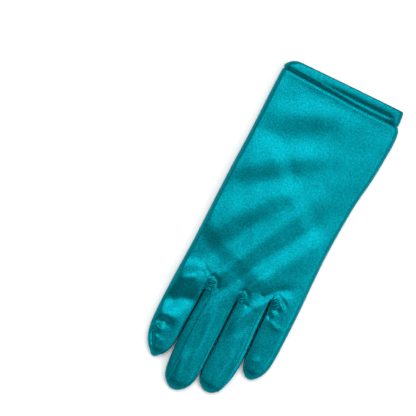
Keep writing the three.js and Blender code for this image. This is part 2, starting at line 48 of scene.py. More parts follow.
def toRow(points):
    points = np.asarray(points, float).reshape(-1, 3)
    return np.stack([points[:, 0], gloveLength / 2 - points[:, 1], points[:, 2]], 1) / 1000


def smooth(value, start, end):
    t = np.clip((value - start) / (end - start), 0, 1)
    return t * t * (3 - 2 * t)


def mix(a, b, t):
    return a + (b - a) * t


# A smooth curve through the rows of a table, with no overshoot
def curveThrough(at, values):
    at, values = np.asarray(at, float), np.asarray(values, float)
    rise = np.diff(values) / np.diff(at)
    slope = np.concatenate([rise[:1], np.zeros(len(at) - 2), rise[-1:]])
    same = rise[1:] * rise[:-1] > 0
    total = np.where(same, rise[1:] + rise[:-1], 1)
    slope[1:-1] = np.where(same, 2 * rise[1:] * rise[:-1] / total, 0)

    def curve(x):
        x = np.clip(x, at[0], at[-1])
        i = np.clip(np.searchsorted(at, x, side="right") - 1, 0, len(at) - 2)
        span = at[i + 1] - at[i]
        t = (x - at[i]) / span
        start, end = slope[i] * span, slope[i + 1] * span
        bend = t * t * (3 - 2 * t)
        return mix(values[i], values[i + 1], bend) + t * (1 - t) * ((1 - t) * start - t * end)

    return curve


foldEnds = {
    "share": 0.36,  # part of a fold's length over which each of its ends fades, and the most of it
    "longest": 27,
    "beyond": 0.35,
}


# Soft ridges and hollows in the cloth: each row is a line of (x, s) places on the glove, a height
# and a width. Heights fade out towards the ends of each line.
def foldField(x, along, folds):
    total = np.zeros(np.broadcast(x, along).shape)
    for line, height, width in folds:
        line = np.asarray(line, float) + placeShift
        steps = np.linalg.norm(np.diff(line, axis=0), axis=1)
        length = steps.sum()
        nearest = np.full(total.shape, 1e9)
        place = np.zeros(total.shape)
        for start, end, step, passed in zip(line[:-1], line[1:], steps, np.cumsum(steps) - steps):
            way = (end - start) / step
            t = np.clip((x - start[0]) * way[0] + (along - start[1]) * way[1], 0, step)
            away = np.hypot(x - start[0] - way[0] * t, along - start[1] - way[1] * t)
            closer = away < nearest
            nearest = np.where(closer, away, nearest)
            place = np.where(closer, passed + t, place)
        fade = min(foldEnds["longest"], foldEnds["share"] * length)
        before = -foldEnds["beyond"] * fade
        ends = smooth(place, before, fade) * smooth(length - place, before, fade)
        total += height * ends * np.exp(-(nearest / width) ** 2)
    return total


# Shape of the glove

glove = {
    "handCrown": 10.4,  # heights of the back along its middle and beside its edges
    "handShoulder": 8.6,
    "fingerCrown": 10.3,
    "fingerShoulder": 9.0,
    "fingerFall": 3.9,  # how far a finger comes down, from before its fork to beyond its tip
    "fallFrom": 25,
    "fallTo": 35,
    "handEdge": 3.2,  # heights where back and palm meet
    "fingerEdge": 6.0,
    "outerFingerEdge": 4.2,
    "outerEdgeRise": 24,
    "tipEdge": 3.0,
    "tipBlend": (3, 18),
    "outerRounding": 3.0,  # how far in from an edge the cloth is still curving
    "innerRounding": 1.3,
    "palmRounding": 5.0,
    "gapRounding": 1.7,
    "tipRounding": 7.0,
    "forkPinch": 3.0,
    "forkOpening": 5,
    "edgeBlend": 6,  # where the hand's side edges turn into the fingers'
    "press": 0.15,  # neighbouring fingers press together
    "pressFrom": (8, 20),
    "knuckleBlend": 13.0,
    "hemDepth": 11.2,
    "hemSlant": 2.8,  # the stitch line comes nearer to the cuff on the index finger's side
    "hemTuck": (0.5, 0.7),  # depth and width of the dip where the skin turns in at the stitching
    "thumbLift": 2.83,  # room for the folded thumb, and how much of it shows on the back
    "thumbLiftFade": (6, 18),
    "thumbLiftEnd": (14, 2),
    "backLift": 0.25,
    "forkArch": 1.3,  # the palm draws up round the gathers at the forks
    "forkArchReach": 9,
    "creaseMargin": (2, 8),  # the palm's creases fade towards an edge and over the thumb
    "creaseEase": 0.6,
    "hemRest": 0.65,  # the hem and the fingers' seams hold the palm's cloth off the surface
    "hemRestFade": (14, 44),
    "seamRest": 0.5,
}

# Side edges of the hand: place s from the photo's cuff line, x of the index side, x of the
# little finger's side
handEdges = [
    (-3, -31.5, 43.3), (-2.7, -33.6, 43.2), (-2, -35.6, 43.2), (-1, -37.4, 43.2), (0.5, -39.1, 43.3),
    (2.5, -40.5, 43.5), (5, -41.4, 44.0), (8, -41.9, 44.8), (12, -42.0, 46.1), (18, -42.2, 46.5),
    (30, -42.4, 45.8), (40, -42.5, 45.0), (50, -42.7, 43.9), (60, -43.0, 42.3), (70, -43.4, 41.1),
    (80, -43.8, 40.3), (90, -44.0, 39.7), (100, -44.2, 39.2), (110, -44.4, 38.9), (130, -44.7, 39.0),
    (140, -45.0, 39.2), (150, -45.5, 39.3), (160, -46.0, 39.2),
]

# Forks between the fingers, as x and s
forks = [(-23.95, 157), (-0.95, 156), (19.05, 150)]

# Index, middle, ring and little finger: x and s of the tip, then rows of distance from the tip and
# the finger's two edges
fingers = [
    {"tip": (-35.2, 215.4), "edges": [
        (2.4, -38.4, -31.6), (5.4, -41.2, -29.1), (10.4, -44.0, -26.6), (15.4, -45.5, -25.8),
        (20.4, -46.2, -25.6), (25.4, -46.5, -25.5), (45.4, -46.3, -24.4), (55.4, -46.0, -24.3),
        (58.4, -45.8, -24.2)]},
    {"tip": (-14.2, 229.5), "edges": [
        (1.3, -17.6, -9.6), (3.5, -20.3, -7.2), (7.5, -22.8, -4.3), (11.5, -23.8, -3.0),
        (19.5, -24.5, -2.3), (34.5, -24.9, -1.9), (49.5, -24.6, -1.6), (59.5, -23.9, -1.6),
        (72.5, -23.7, -1.3)]},
    {"tip": (7.6, 221.3), "edges": [
        (0.9, 4.0, 11.0), (1.9, 2.7, 12.5), (3.9, 0.5, 14.5), (7.3, -1.2, 16.2), (13.3, -1.7, 18.0),
        (21.3, -1.4, 19.2), (31.3, -1.1, 19.8), (41.3, -1.1, 19.6), (51.3, -1.1, 19.2),
        (65.3, -0.9, 19.0)]},
    {"tip": (28.6, 201.6), "edges": [
        (0.9, 25.9, 31.3), (2.6, 24.1, 33.2), (5.6, 22.1, 35.5), (8.6, 21.1, 36.9), (11.6, 20.5, 37.8),
        (21.6, 20.2, 38.7), (31.6, 19.9, 39.0), (41.6, 19.7, 39.2), (51.6, 19.5, 39.3)]},
]

edgePlaces = np.array([row[0] for row in handEdges]) + placeShift[1]
leftEdge = curveThrough(edgePlaces, [row[1] + placeShift[0] for row in handEdges])
rightEdge = curveThrough(edgePlaces, [row[2] + placeShift[0] for row in handEdges])
# Share of the hand's full height along the glove
riseAt = curveThrough([0, 11, 24, 80, 136, 160, 240], [0.99, 0.985, 1.0, 1.0, 0.98, 0.96, 0.96])
forkX = [x + placeShift[0] for x, _ in forks]
forkAlong = [s + placeShift[1] for _, s in forks]
rowEnd = [forkAlong[0], *forkAlong, forkAlong[-1]]
forkShare = [
    (x - leftEdge(a)) / (rightEdge(a) - leftEdge(a)) for x, a in zip(forkX, forkAlong)
]
for finger in fingers:
    finger["tipX"] = finger["tip"][0] + placeShift[0]
    finger["tipAlong"] = finger["tip"][1] + placeShift[1]
    rows = [(0, finger["tip"][0], finger["tip"][0]), *finger["edges"]]
    down = [row[0] for row in rows]
    finger["centre"] = curveThrough(down, [(row[1] + row[2]) / 2 + placeShift[0] for row in rows])
    finger["square"] = curveThrough(down, [((row[2] - row[1]) / 2) ** 2 for row in rows])


def fingerEdge(k, side, along):
    down = fingers[k]["tipAlong"] - along
    half = np.sqrt(np.maximum(fingers[k]["square"](down), 0))
    pressed = glove["press"] * smooth(down, *glove["pressFrom"]) * (k + (side > 0) not in (0, 4))
    return fingers[k]["centre"](down) + side * (half + pressed)


# One side of a lane: the lane k is a finger and the strip of the hand behind it. Gives x and how
# open the side is, from 0 inside the hand to 1 at an edge.
def laneSide(k, side, along):
    number = k + (side > 0)
    if number in (0, 4):
        hand = leftEdge(along) if number == 0 else rightEdge(along)
        reach = glove["edgeBlend"]
        blend = smooth(along, rowEnd[number] - reach, rowEnd[number] + reach)
        return mix(hand, fingerEdge(k, side, along), blend), np.ones(np.shape(along))
    fork, share = forkAlong[number - 1], forkShare[number - 1]
    hand = mix(leftEdge(along), rightEdge(along), share)
    beyond = smooth(along, fork, fork + glove["forkOpening"])
    x = np.where(along > fork, mix(forkX[number - 1], fingerEdge(k, side, along), beyond), hand)
    return x, smooth(along, fork - glove["forkPinch"], fork)


# The thumb in plan: its oval mouth in the palm and the flat tube that lies across the hand
thumbPlace = {
    "mouthCentre": (-26.5, 92.5), "mouthSize": (13.4, 28.8), "mouthTurn": 8,
    "fold": (-17.5, 102.6), "lean": 63, "rootTurn": 13, "tipTurn": 36,
    "reach": 51.0, "rootWidth": 38.0, "tipWidth": 23.0, "tipLength": 8.5,
}


def mouthPoint(angle, grow=0.0):
    out = (thumbPlace["mouthSize"][0] + grow) * np.cos(angle)
    back = (thumbPlace["mouthSize"][1] + grow) * np.sin(angle)
    turn = math.radians(thumbPlace["mouthTurn"])
    return (
        thumbPlace["mouthCentre"][0] + placeShift[0] + out * math.cos(turn) - back * math.sin(turn),
        thumbPlace["mouthCentre"][1] + placeShift[1] - out * math.sin(turn) - back * math.cos(turn),
    )


def tubePoint(reach, side):
    lean = math.radians(thumbPlace["lean"])
    straight = np.minimum(reach, 1)
    rounding = np.maximum(reach - 1, 0)
    turn = np.radians(mix(thumbPlace["rootTurn"], thumbPlace["tipTurn"], straight))
    width = mix(thumbPlace["rootWidth"], thumbPlace["tipWidth"], straight)
    width = width * np.sqrt(np.maximum(1 - rounding * rounding, 0))
    onAxis, past = straight * thumbPlace["reach"], rounding * thumbPlace["tipLength"]
    x = onAxis * math.sin(lean) + side * width * np.sin(turn) / 2 + past * np.cos(turn)
    along = onAxis * math.cos(lean) - side * width * np.cos(turn) / 2 + past * np.sin(turn)
    return x + thumbPlace["fold"][0] + placeShift[0], along + thumbPlace["fold"][1] + placeShift[1]


footprint = np.array(
    [mouthPoint(turn * math.pi) for turn in (0.5, 0.75, 1, 1.25, 1.5)]
    + [tubePoint(reach, -1) for reach in (0.5, 1, 1.6)]
    + [tubePoint(reach, 1) for reach in (1.6, 1, 0.5)]
)


# How far the thumb under the palm lifts the cloth above it
def thumbLift(x, along):
    inside = np.zeros(np.broadcast(x, along).shape, bool)
    nearest = np.full(inside.shape, 1e9)
    for (ax, aAlong), (bx, bAlong) in zip(footprint, np.roll(footprint, -1, 0)):
        step = (bx - ax, bAlong - aAlong)
        t = ((x - ax) * step[0] + (along - aAlong) * step[1]) / (step[0] ** 2 + step[1] ** 2)
        t = np.clip(t, 0, 1)
        nearest = np.minimum(nearest, np.hypot(x - ax - step[0] * t, along - aAlong - step[1] * t))
        crosses = (aAlong > along) != (bAlong > along)
        inside ^= crosses & (x < ax + (along - aAlong) * step[0] / (step[1] or 1))
    away = np.where(inside, 0, nearest)
    return glove["thumbLift"] * (1 - smooth(away, *glove["thumbLiftFade"]))


# Folds of the back, as (x, s) lines: the rise at the hem, the crests, then the hollows, with the
# fine folds round the forks and the tuck at the index fingertip among them
backFolds = [
    ([(-40, 6.4), (-10, 7), (20, 7.6), (46, 8)], 0.4, 3.8),
    ([(-42, 42), (-28, 34), (-16, 28), (0, 22), (16, 19)], 0.6, 8.5),
    ([(-46, 82), (-30, 71), (-20, 64), (-10, 58), (2, 52), (14, 46)], 0.7, 8.5),
    ([(-46, 134), (-30, 113), (-20, 100), (-10, 88), (-2, 80), (6, 73), (16, 64)], 0.7, 8.5),
    ([(-28, 164), (-22, 152), (-10, 130), (-4, 118), (4, 103), (12, 89), (18, 76), (23, 66)], 0.82, 7.6),
    ([(-4, 167), (0, 156), (4, 145), (8, 138), (12, 132), (17, 124), (24, 114), (32, 102), (38, 92)],
     0.78, 7.0),
    ([(-26, 160), (-19, 148), (-12, 135)], 0.5, 5.0),
    ([(-2, 158), (3, 148), (7, 139), (11, 131)], 0.6, 4.4),
    ([(11, 160), (17, 151), (26, 141)], 0.9, 3.6),
    ([(-47, 163), (-36, 157), (-27, 151)], 2.1, 6.0),
    ([(-47, 190), (-38, 187), (-27, 185)], 0.8, 4.5),
    ([(2, 182), (6, 168), (11, 158)], 0.65, 2.6),
    ([(-18.5, 168), (-18.5, 200), (-17, 222)], 0.22, 1.2),
    ([(-12.5, 166), (-11, 190), (-12, 212)], 0.45, 1.9),
    ([(-16, 203), (-15, 225)], 0.5, 1.9),
    ([(12, 184), (9.5, 203), (7, 218)], 0.45, 1.8),
    ([(15.5, 172), (15.5, 202)], 0.2, 1.3),
    ([(23, 160), (30, 163), (36, 162)], 0.25, 1.8),
    ([(24, 190), (31, 187)], 0.2, 2.0),
    ([(-46, 200.5), (-44, 197.5), (-41.5, 196), (-39, 197), (-40, 199.5)], 1.2, 1.3),
    ([(-44.5, 201), (-43, 206), (-39.5, 212)], 1.0, 1.3),
    ([(-41, 202.5), (-37, 203.5)], 0.45, 1.3),
    ([(-36, 203), (-33, 205)], 0.25, 2.2),
    ([(-40, 59), (-25, 49), (-10, 42), (4, 36), (18, 32)], -0.4, 8.5),
    ([(-44, 100), (-30, 89), (-20, 79), (-10, 71), (4, 64)], -0.6, 8.5),
    ([(-42, 152), (-32, 141), (-24, 129), (-17, 116), (-10, 103), (-3, 91)], -0.72, 8.0),
    ([(-14, 162), (-10, 152), (-4, 139), (0, 131), (8, 118), (16, 103), (24, 88), (29, 79)], -0.7, 6.5),
    ([(7, 156), (12, 149), (20, 141), (30, 134)], -0.9, 3.8),
    ([(11, 149), (13, 146)], -0.5, 2.0),
    ([(-31, 146.5), (-27.5, 149), (-24.5, 150.5)], -0.32, 1.8),
    ([(-30, 149.5), (-26, 152.5)], 0.3, 1.8),
    ([(-25.5, 152), (-22, 150), (-18.5, 151.5), (-17, 156), (-18.5, 162)], -0.6, 1.4),
    ([(-2.5, 152), (0.5, 149.5), (3.5, 151), (5, 155)], -0.55, 1.3),
    ([(4, 157.5), (8, 158.5)], -0.3, 1.2),
    ([(19.5, 145.5), (23, 143), (27, 145), (31, 148.5)], -0.5, 1.3),
    ([(26, 147.5), (29.5, 151)], 0.4, 1.2),
    ([(24.5, 150.5), (27, 153.5)], -0.5, 1.1),
    ([(22.5, 153.5), (25.5, 157)], 0.35, 1.2),
    ([(21.5, 156), (24, 160)], -0.35, 1.2),
    ([(-47, 181), (-35, 172), (-25, 167)], -1.8, 6.0),
    ([(-43, 194), (-39, 191), (-35, 192)], -1.4, 2.4),
    ([(-42.5, 200), (-41, 205), (-38, 211)], -1.0, 1.1),
    ([(-44, 199), (-41.5, 198.5)], -0.6, 0.9),
    ([(8, 181), (11, 172), (14, 163)], -0.3, 2.5),
    ([(-20, 168), (-15, 160), (-12, 150)], -0.35, 2.5),
]

# Folds of the palm
palmFolds = [
    ([(-24, 56), (-8, 51), (10, 49), (28, 50)], -0.8, 3.0),
    ([(-10, 63), (6, 65), (22, 70), (38, 78)], -1.0, 2.8),
    ([(4, 76), (16, 83), (26, 91), (38, 101)], -0.9, 2.8),
    ([(12, 149), (20, 143), (30, 136)], -0.9, 2.2),
    ([(-44, 93), (-38, 97)], -0.6, 2.0),
    ([(-34, 148), (-38, 185), (-41, 200)], -0.5, 2.0),
    ([(-16, 150), (-16.5, 190)], -0.4, 1.8),
    ([(8, 190), (4, 208)], -0.4, 1.8),
    ([(-18, 222), (-12, 219)], -0.3, 1.6),
    ([(5, 214), (11, 212)], -0.3, 1.6),
]


# Slack in the cloth: long shallow waves that never quite repeat
def slack(x, along):
    return (
        0.05 * np.sin(0.21 * x + 0.13 * along + 0.6)
        + 0.03 * np.sin(0.37 * x - 0.19 * along + 2.1)
        + 0.02 * np.sin(0.13 * x + 0.42 * along + 4.0)
    )


def rounded(away, over):
    return np.sqrt(1 - (1 - np.clip(away / over, 0, 1)) ** 2)


# Height of the back (upper) or of the palm over a place of lane k. Where closed is set, the cloth
# runs straight on over the forks.
def heightAt(k, x, along, upper, closed=False):
    left, leftOpen = laneSide(k, -1, along)
    right, rightOpen = laneSide(k, 1, along)
    place = np.clip((x - left) / (right - left + 1e-9), 0, 1)
    fork = mix(rowEnd[k], rowEnd[k + 1], place)
    onFinger = smooth(along, fork - glove["knuckleBlend"], fork + 4)
    if closed:
        leftOpen = leftOpen * (k == 0)
        rightOpen = rightOpen * (k == 3)
    full = 1
    for number, away, opened in ((k, x - left, leftOpen), (k + 1, right - x, rightOpen)):
        over = glove["outerRounding" if number in (0, 4) else "innerRounding"]
        if not upper:
            over = glove["palmRounding" if number in (0, 4) else "gapRounding"]
        full = full * (1 - opened * (1 - rounded(np.maximum(away, 0), over)))
    lift = thumbLift(x, along)
    if upper:
        across = 2 * (x - leftEdge(along)) / (rightEdge(along) - leftEdge(along)) - 1
        hand = mix(glove["handShoulder"], glove["handCrown"], 1 - np.minimum(across ** 2, 1))
        finger = mix(glove["fingerShoulder"], glove["fingerCrown"], 1 - (2 * place - 1) ** 2)
        end = fingers[k]["tipAlong"] + glove["fallTo"]
        finger = finger - glove["fingerFall"] * smooth(along, fork - glove["fallFrom"], end)
        flat = mix(hand * riseAt(along), finger, onFinger)
        flat = flat + foldField(x, along, backFolds) + slack(x, along) + glove["backLift"] * lift
    else:
        start, end = glove["thumbLiftEnd"]
        lift = lift * (1 - smooth(along, fork - start, fork - end))
        edgeNear = np.minimum(mix(99, x - left, leftOpen), mix(99, right - x, rightOpen))
        creased = -foldField(x, along, palmFolds) * smooth(edgeNear, *glove["creaseMargin"])
        flat = lift + creased * (1 - glove["creaseEase"] * lift / glove["thumbLift"])
        flat = flat + glove["hemRest"] * (1 - smooth(along, *glove["hemRestFade"]))
        flat = flat + glove["seamRest"] * onFinger
        for atX, atAlong in zip(forkX, forkAlong):
            away = np.hypot(x - atX, along - atAlong) / glove["forkArchReach"]
            flat = flat + glove["forkArch"] * np.exp(-away ** 2)
    outer = smooth(along, rowEnd[k] - glove["outerEdgeRise"], rowEnd[k])
    outer = mix(glove["handEdge"], glove["outerFingerEdge"], outer)
    leftEdgeZ = outer if k == 0 else glove["fingerEdge"]
    rightEdgeZ = outer if k == 3 else glove["fingerEdge"]
    toTip = fingers[k]["tipAlong"] - along
    edge = mix(leftEdgeZ, rightEdgeZ, smooth(place, 0.3, 0.7))
    edge = mix(glove["outerFingerEdge"], edge, smooth(toTip, *glove["tipBlend"]))
    height = mix(edge, flat, full)
    return mix(glove["tipEdge"], height, rounded(toTip, glove["tipRounding"]))


# Meshes

def meshOf(name, points, faces):
    mesh = bpy.data.meshes.new(name)
    mesh.from_pydata([tuple(p) for p in points], [], faces)
    mesh.validate()
    piece = bpy.data.objects.new(name, mesh)
    bpy.context.scene.collection.objects.link(piece)
    mesh.polygons.foreach_set("use_smooth", [True] * len(mesh.polygons))
    return piece


# Joins grids of points, each (rows, columns, 3), into one mesh. A grid whose flag is set is
# turned over, so that every face looks outwards.
def sheetsOf(name, grids):
    points, faces, start = [], [], 0
    for grid, turned in grids:
        rows, columns = grid.shape[:2]
        number = start + np.arange(rows * columns).reshape(rows, columns)
        corners = [number[:-1, :-1], number[1:, :-1], number[1:, 1:], number[:-1, 1:]]
        if turned:
            corners.reverse()
        faces.append(np.stack([c.ravel() for c in corners], 1))
        points.append(toRow(grid))
        start += rows * columns
    piece = meshOf(name, np.concatenate(points), np.concatenate(faces).tolist())
    work = bmesh.new()
    work.from_mesh(piece.data)
    bmesh.ops.remove_doubles(work, verts=work.verts, dist=2e-6)
    bmesh.ops.dissolve_degenerate(work, edges=work.edges, dist=1e-7)
    work.to_mesh(piece.data)
    work.free()
    return piece


# Unit normals of a grid that point out of the glove; ahead is the same grid a little further
# towards the fingertips
def outwardOf(grid, ahead, ring=False):
    if ring:
        side = np.roll(grid[:, :-1], -1, 1) - np.roll(grid[:, :-1], 1, 1)
        side = np.concatenate([side, side[:, :1]], 1)
    else:
        side = np.gradient(grid, axis=1)
    normal = np.cross(side, ahead - grid)
    return normal / (np.linalg.norm(normal, axis=2, keepdims=True) + 1e-12)


handMesh = {
    "backColumns": 44, "palmColumns": 24, "handStep": 1.05, "forkStep": 0.5, "fingerStep": 0.75,
    "forkReach": 16.0, "tipLength": 12.0, "tipRows": 20, "columnBlend": (34, 4),
}


# Columns of a lane, from its left side (0) to its right side (1): even inside the hand, close
# together at open edges
def spreadOf(k, u, along):
    finger = (1 - np.cos(math.pi * u)) / 2
    hand = {0: 1 - np.cos(math.pi * u / 2), 3: np.sin(math.pi * u / 2)}.get(k, u)
    start, end = handMesh["columnBlend"]
    return mix(hand, finger, smooth(along, rowEnd[k] - start, rowEnd[k] - end))


# Where the hem's stitching lies
def hemLine(x):
    return glove["hemDepth"] - glove["hemSlant"] * np.clip((16 - x) / 56, 0, 1)


def evenly(start, end, step):
    return np.linspace(start, end, max(2, round((end - start) / step) + 1))


def laneGrid(k, upper):
    u = np.linspace(0, 1, handMesh["backColumns" if upper else "palmColumns"] + 1)
    depth, close = glove["hemDepth"], handMesh["forkReach"]
    start = hemLine(mix(laneSide(k, -1, depth)[0], laneSide(k, 1, depth)[0], spreadOf(k, u, depth)))
    ends = mix(rowEnd[k], rowEnd[k + 1], u)
    turn = depth + np.array([0, 0.25, 0.5, 0.8, 1.2, 1.7, 2.4])
    plain = evenly(depth + 3.2, ends.mean() - close, handMesh["handStep"])
    near = evenly(ends.mean() - close, ends.mean(), handMesh["forkStep"])[1:]
    shares = (np.concatenate([turn, plain, near]) - depth) / (ends.mean() - depth)
    handRows = start + (ends - start) * shares[:, None]
    reach = fingers[k]["tipAlong"] - ends
    down = []
    last, middle = handMesh["tipLength"], reach.mean() - close
    for place in (*evenly(0, close, handMesh["forkStep"])[1:],
                  *(reach.mean() - evenly(middle, last, -handMesh["fingerStep"])[1:])):
        down.append(mix(reach, last, place / (reach.mean() - last)))
    for t in np.linspace(0, 1, handMesh["tipRows"] + 1)[1:]:
        down.append(np.full(len(u), last * (1 - t) ** 2))
    along = np.concatenate([handRows, fingers[k]["tipAlong"] - np.array(down)])
    left, right = laneSide(k, -1, along)[0], laneSide(k, 1, along)[0]
    x = mix(left, right, spreadOf(k, u[None], along))
    z = heightAt(k, x, along, upper)
    tuck, width = glove["hemTuck"]
    turned = tuck * np.exp(-((along - start) / width) ** 2)
    return np.stack([x, along, z - turned if upper else z + turned], 2)


print("hand: back, palm and fingers")
lanes = [(laneGrid(k, upper), not upper) for k in range(4) for upper in (True, False)]
hand = sheetsOf("hand_shell_cloth", lanes)


# Fourchettes: the strips between the fingers, with a gather at each fork

stripCloth = {
    "columns": 28, "rowStep": 0.9,
    "edgeSink": 0.35,  # its seamed edge sinks in, then the welt stands out, then the cloth lies low
    "welt": 0.48,
    "proud": 0.2,
    "facing": 0.75,  # how much thinner it is where two strips face each other
    "end": 3.5,
    "taper": 24,
    "forkWidth": 0.75,
}

# Seam distances from the finger's edge, on the back and in the palm
strips = [
    ("fourchette_index_middle", [(0, 1, 1.5, 2.8), (1, -1, 6.8, 4.5)]),
    ("fourchette_middle_ring", [(1, 1, 2.3, 3.6), (2, -1, 2.6, 4.5)]),
    ("fourchette_ring_little", [(2, 1, 3.3, 3.6), (3, -1, 1.8, 3.0)]),
]

# Gathers over the forks, on the back and in the palm: centre, half width and half length, turn in
# degrees, height, depth and length of its cross wrinkles
gathers = [
    [(True, (-21.9, 156.0), (3.6, 5.4), 6, 1.05, 0.68, 2.9),
     (False, (-25.0, 153.5), (3.2, 4.8), 0, 0.9, 0.35, 2.6)],
    [(True, (0.5, 154.8), (3.0, 4.6), -8, 0.95, 0.62, 2.6),
     (False, (-3.0, 154.0), (3.2, 4.8), 0, 0.9, 0.35, 2.6)],
    [(True, (22.6, 148.8), (3.6, 5.0), -30, 0.95, 0.66, 2.6),
     (False, (18.4, 147.5), (3.2, 4.8), 0, 0.9, 0.35, 2.6)],
]


def stripGrid(k, side, upperSeam, lowerSeam):
    start = forkAlong[k if side > 0 else k - 1]
    end = fingers[k]["tipAlong"] - stripCloth["end"]
    along = evenly(start + 0.1, end, stripCloth["rowStep"])
    t = np.linspace(0, 1, stripCloth["columns"] + 1)
    half = (1 - np.cos(2 * math.pi * t)) / 2  # 0 at both seams, 1 at the finger's edge
    upper = t <= 0.5
    taper = mix(stripCloth["forkWidth"], 1, smooth(along, start, start + 8))
    taper = taper * rounded(end + 0.5 - along, stripCloth["taper"])

    def surface(rows):
        rows = rows[:, None] + 0 * t
        edge = laneSide(k, side, rows)[0]
        seam = np.where(upper, upperSeam, lowerSeam) * taper[:, None]
        x = edge - side * seam * (1 - half)
        z = np.where(upper, heightAt(k, x, rows, True), heightAt(k, x, rows, False))
        return np.stack([x, rows, z], 2), seam * half

    grid, fromSeam = surface(along)
    ahead, _ = surface(along + 0.2)
    out = mix(-stripCloth["edgeSink"], stripCloth["welt"], smooth(fromSeam, 0, 0.3))
    out -= (stripCloth["welt"] - stripCloth["proud"]) * smooth(fromSeam, 0.4, 1.1)
    out = np.where(out > 0, out * (1 - stripCloth["facing"] * half ** 4), out)
    return grid + outwardOf(grid, ahead) * (side * out)[..., None], side < 0


gatherCloth = {"rings": 15, "spokes": 61, "sink": 0.6, "pleats": 7, "pleatHeight": 0.16}


def gatherGrid(number, upper, centre, size, turn, height, depth, wrinkle):
    r = np.linspace(0, 1, gatherCloth["rings"])[:, None]
    angle = np.linspace(0, 2 * math.pi, gatherCloth["spokes"])[None]
    turn = math.radians(turn)
    across, length = size[0] * r * np.cos(angle), size[1] * r * np.sin(angle)
    x = centre[0] + placeShift[0] + across * math.cos(turn) - length * math.sin(turn)
    along = centre[1] + placeShift[1] + across * math.sin(turn) + length * math.cos(turn)
    before, after = (heightAt(k, x, along, upper, True) for k in (number, number + 1))
    under = np.where(x < forkX[number], before, after)
    dome = height * (1 - r ** 2) - gatherCloth["sink"] * smooth(r, 0.7, 1)
    folds = depth * np.sin(2 * math.pi * (length + 0.25 * across) / wrinkle) * (1 - r ** 2) ** 0.6
    pleats = gatherCloth["pleatHeight"] * np.sin(gatherCloth["pleats"] * angle + 1)
    rise = dome + folds + pleats * r ** 2 * (1 - r)
    return np.stack([x, along, under + rise if upper else np.maximum(under - rise, 0.05)], 2), upper


print("fourchettes")
fourchettes = []
for number, (node, sides) in enumerate(strips):
    grids = [stripGrid(*side) for side in sides]
    grids += [gatherGrid(number, *gather) for gather in gathers[number]]
    fourchettes.append((node, sheetsOf(node + "_cloth", grids)))


# Hem: the cuff's folded band, its rolled edge and the inner face of the cloth behind it

# Rows of the band from its stitching to the rolled edge and back inside: place along the glove and
# how far it stands out of the hand's surface
hemRows = [
    (11.9, -1.1), (11.5, -1.08), (11.1, -1.0), (10.7, -0.84), (10.3, -0.6), (9.9, -0.36),
    (9.4, -0.1), (8.9, 0.1), (8.4, 0.25), (7.9, 0.36), (7.4, 0.44), (6.9, 0.5), (6.3, 0.55),
    (5.6, 0.59), (4.9, 0.62), (4.2, 0.64), (3.5, 0.64), (2.8, 0.63), (2.1, 0.61), (1.5, 0.57),
    (1.0, 0.5), (0.6, 0.38), (0.3, 0.16), (0.12, -0.1), (0.05, -0.35), (0.12, -0.6), (0.35, -0.85),
    (0.8, -1.02), (1.6, -1.12), (4, -1.2), (8, -1.2), (10.6, -1.25), (11.6, -1.2), (13, -0.95),
]
hem = {
    "columns": 96, "outerRows": 24, "insideEnd": 96.0, "insideDepth": 0.9,
    "pucker": 0.06,  # the stitching gathers the band a little
    "puckerLength": 4.6,
    "puckerAt": (9.5, 2.2),
    "fold": 0.95,  # a fold in the band that deepens towards the little finger's side
    "foldStep": 0.4,
    "foldAt": (7.2, 1.8),
    "foldAcross": (-22, 16),
    "foldEnd": (41, 34),
}


def handRing(along, columns):
    t = np.linspace(0, 1, columns + 1)
    u = (1 - np.cos(2 * math.pi * t)) / 2
    upper = t <= 0.5
    rows = along[:, None] + 0 * t
    x = mix(leftEdge(rows), rightEdge(rows), u)
    z = np.zeros(x.shape)
    for k in range(4):
        left, right = laneSide(k, -1, rows)[0], laneSide(k, 1, rows)[0]
        here = (x >= left - 0.01) & (x <= right + 0.01)
        z = np.where(here & upper, heightAt(k, x, rows, True), z)
        z = np.where(here & ~upper, heightAt(k, x, rows, False), z)
    return np.stack([x, rows, z], 2)


def hemGrid():
    inside = evenly(15, hem["insideEnd"], 3)
    rows = hemRows + [(a, -hem["insideDepth"]) for a in inside]
    along = np.array([row[0] for row in rows])
    out = np.array([row[1] for row in rows])[:, None] + np.zeros(hem["columns"] + 1)
    ring = handRing(along, hem["columns"])
    # the band follows its slanting stitch line
    slanted = hemLine(ring[..., 0]) / glove["hemDepth"]
    ring[..., 1] *= mix(1, slanted, smooth(along, 1, 10)[:, None] * (along < 13)[:, None])
    outer = (np.arange(len(along)) < hem["outerRows"])[:, None]
    middle, width = hem["puckerAt"]
    gathered = outer * np.exp(-((along - middle) / width) ** 2)[:, None]
    out = out + hem["pucker"] * gathered * np.sin(2 * math.pi * ring[..., 0] / hem["puckerLength"])
    middle, width = hem["foldAt"]
    dip = np.exp(-((along - middle) / width) ** 2)
    step = smooth(along, 4.6, 7.4) * (1 - smooth(along, 9.6, 11))
    folded = outer * mix(dip, step, hem["foldStep"])[:, None]
    folded = folded * smooth(ring[..., 0], *hem["foldAcross"]) * smooth(ring[..., 0], *hem["foldEnd"])
    out = out - hem["fold"] * folded
    return ring + outwardOf(ring, handRing(along + 0.3, hem["columns"]), True) * out[..., None]


print("hem")
band = sheetsOf("cuff_hem_cloth", [(hemGrid(), True)])


# Thumb: the flat tube folded across the palm, and the welt of its oval seam

thumbCloth = {
    "flatSteps": 44, "edgeSteps": 9, "mouthSteps": 9, "reachStep": 0.016, "tipSteps": 16,
    "firstReach": 0.2,
    "floor": 0.33,  # heights of its underside and of its rounded edge, and the hollow underneath
    "round": 1.25,
    "hollow": 0.7,
    "foldSpan": 0.28,
    "weltRadius": 0.42, "weltSteps": 120, "weltSides": 10,
}

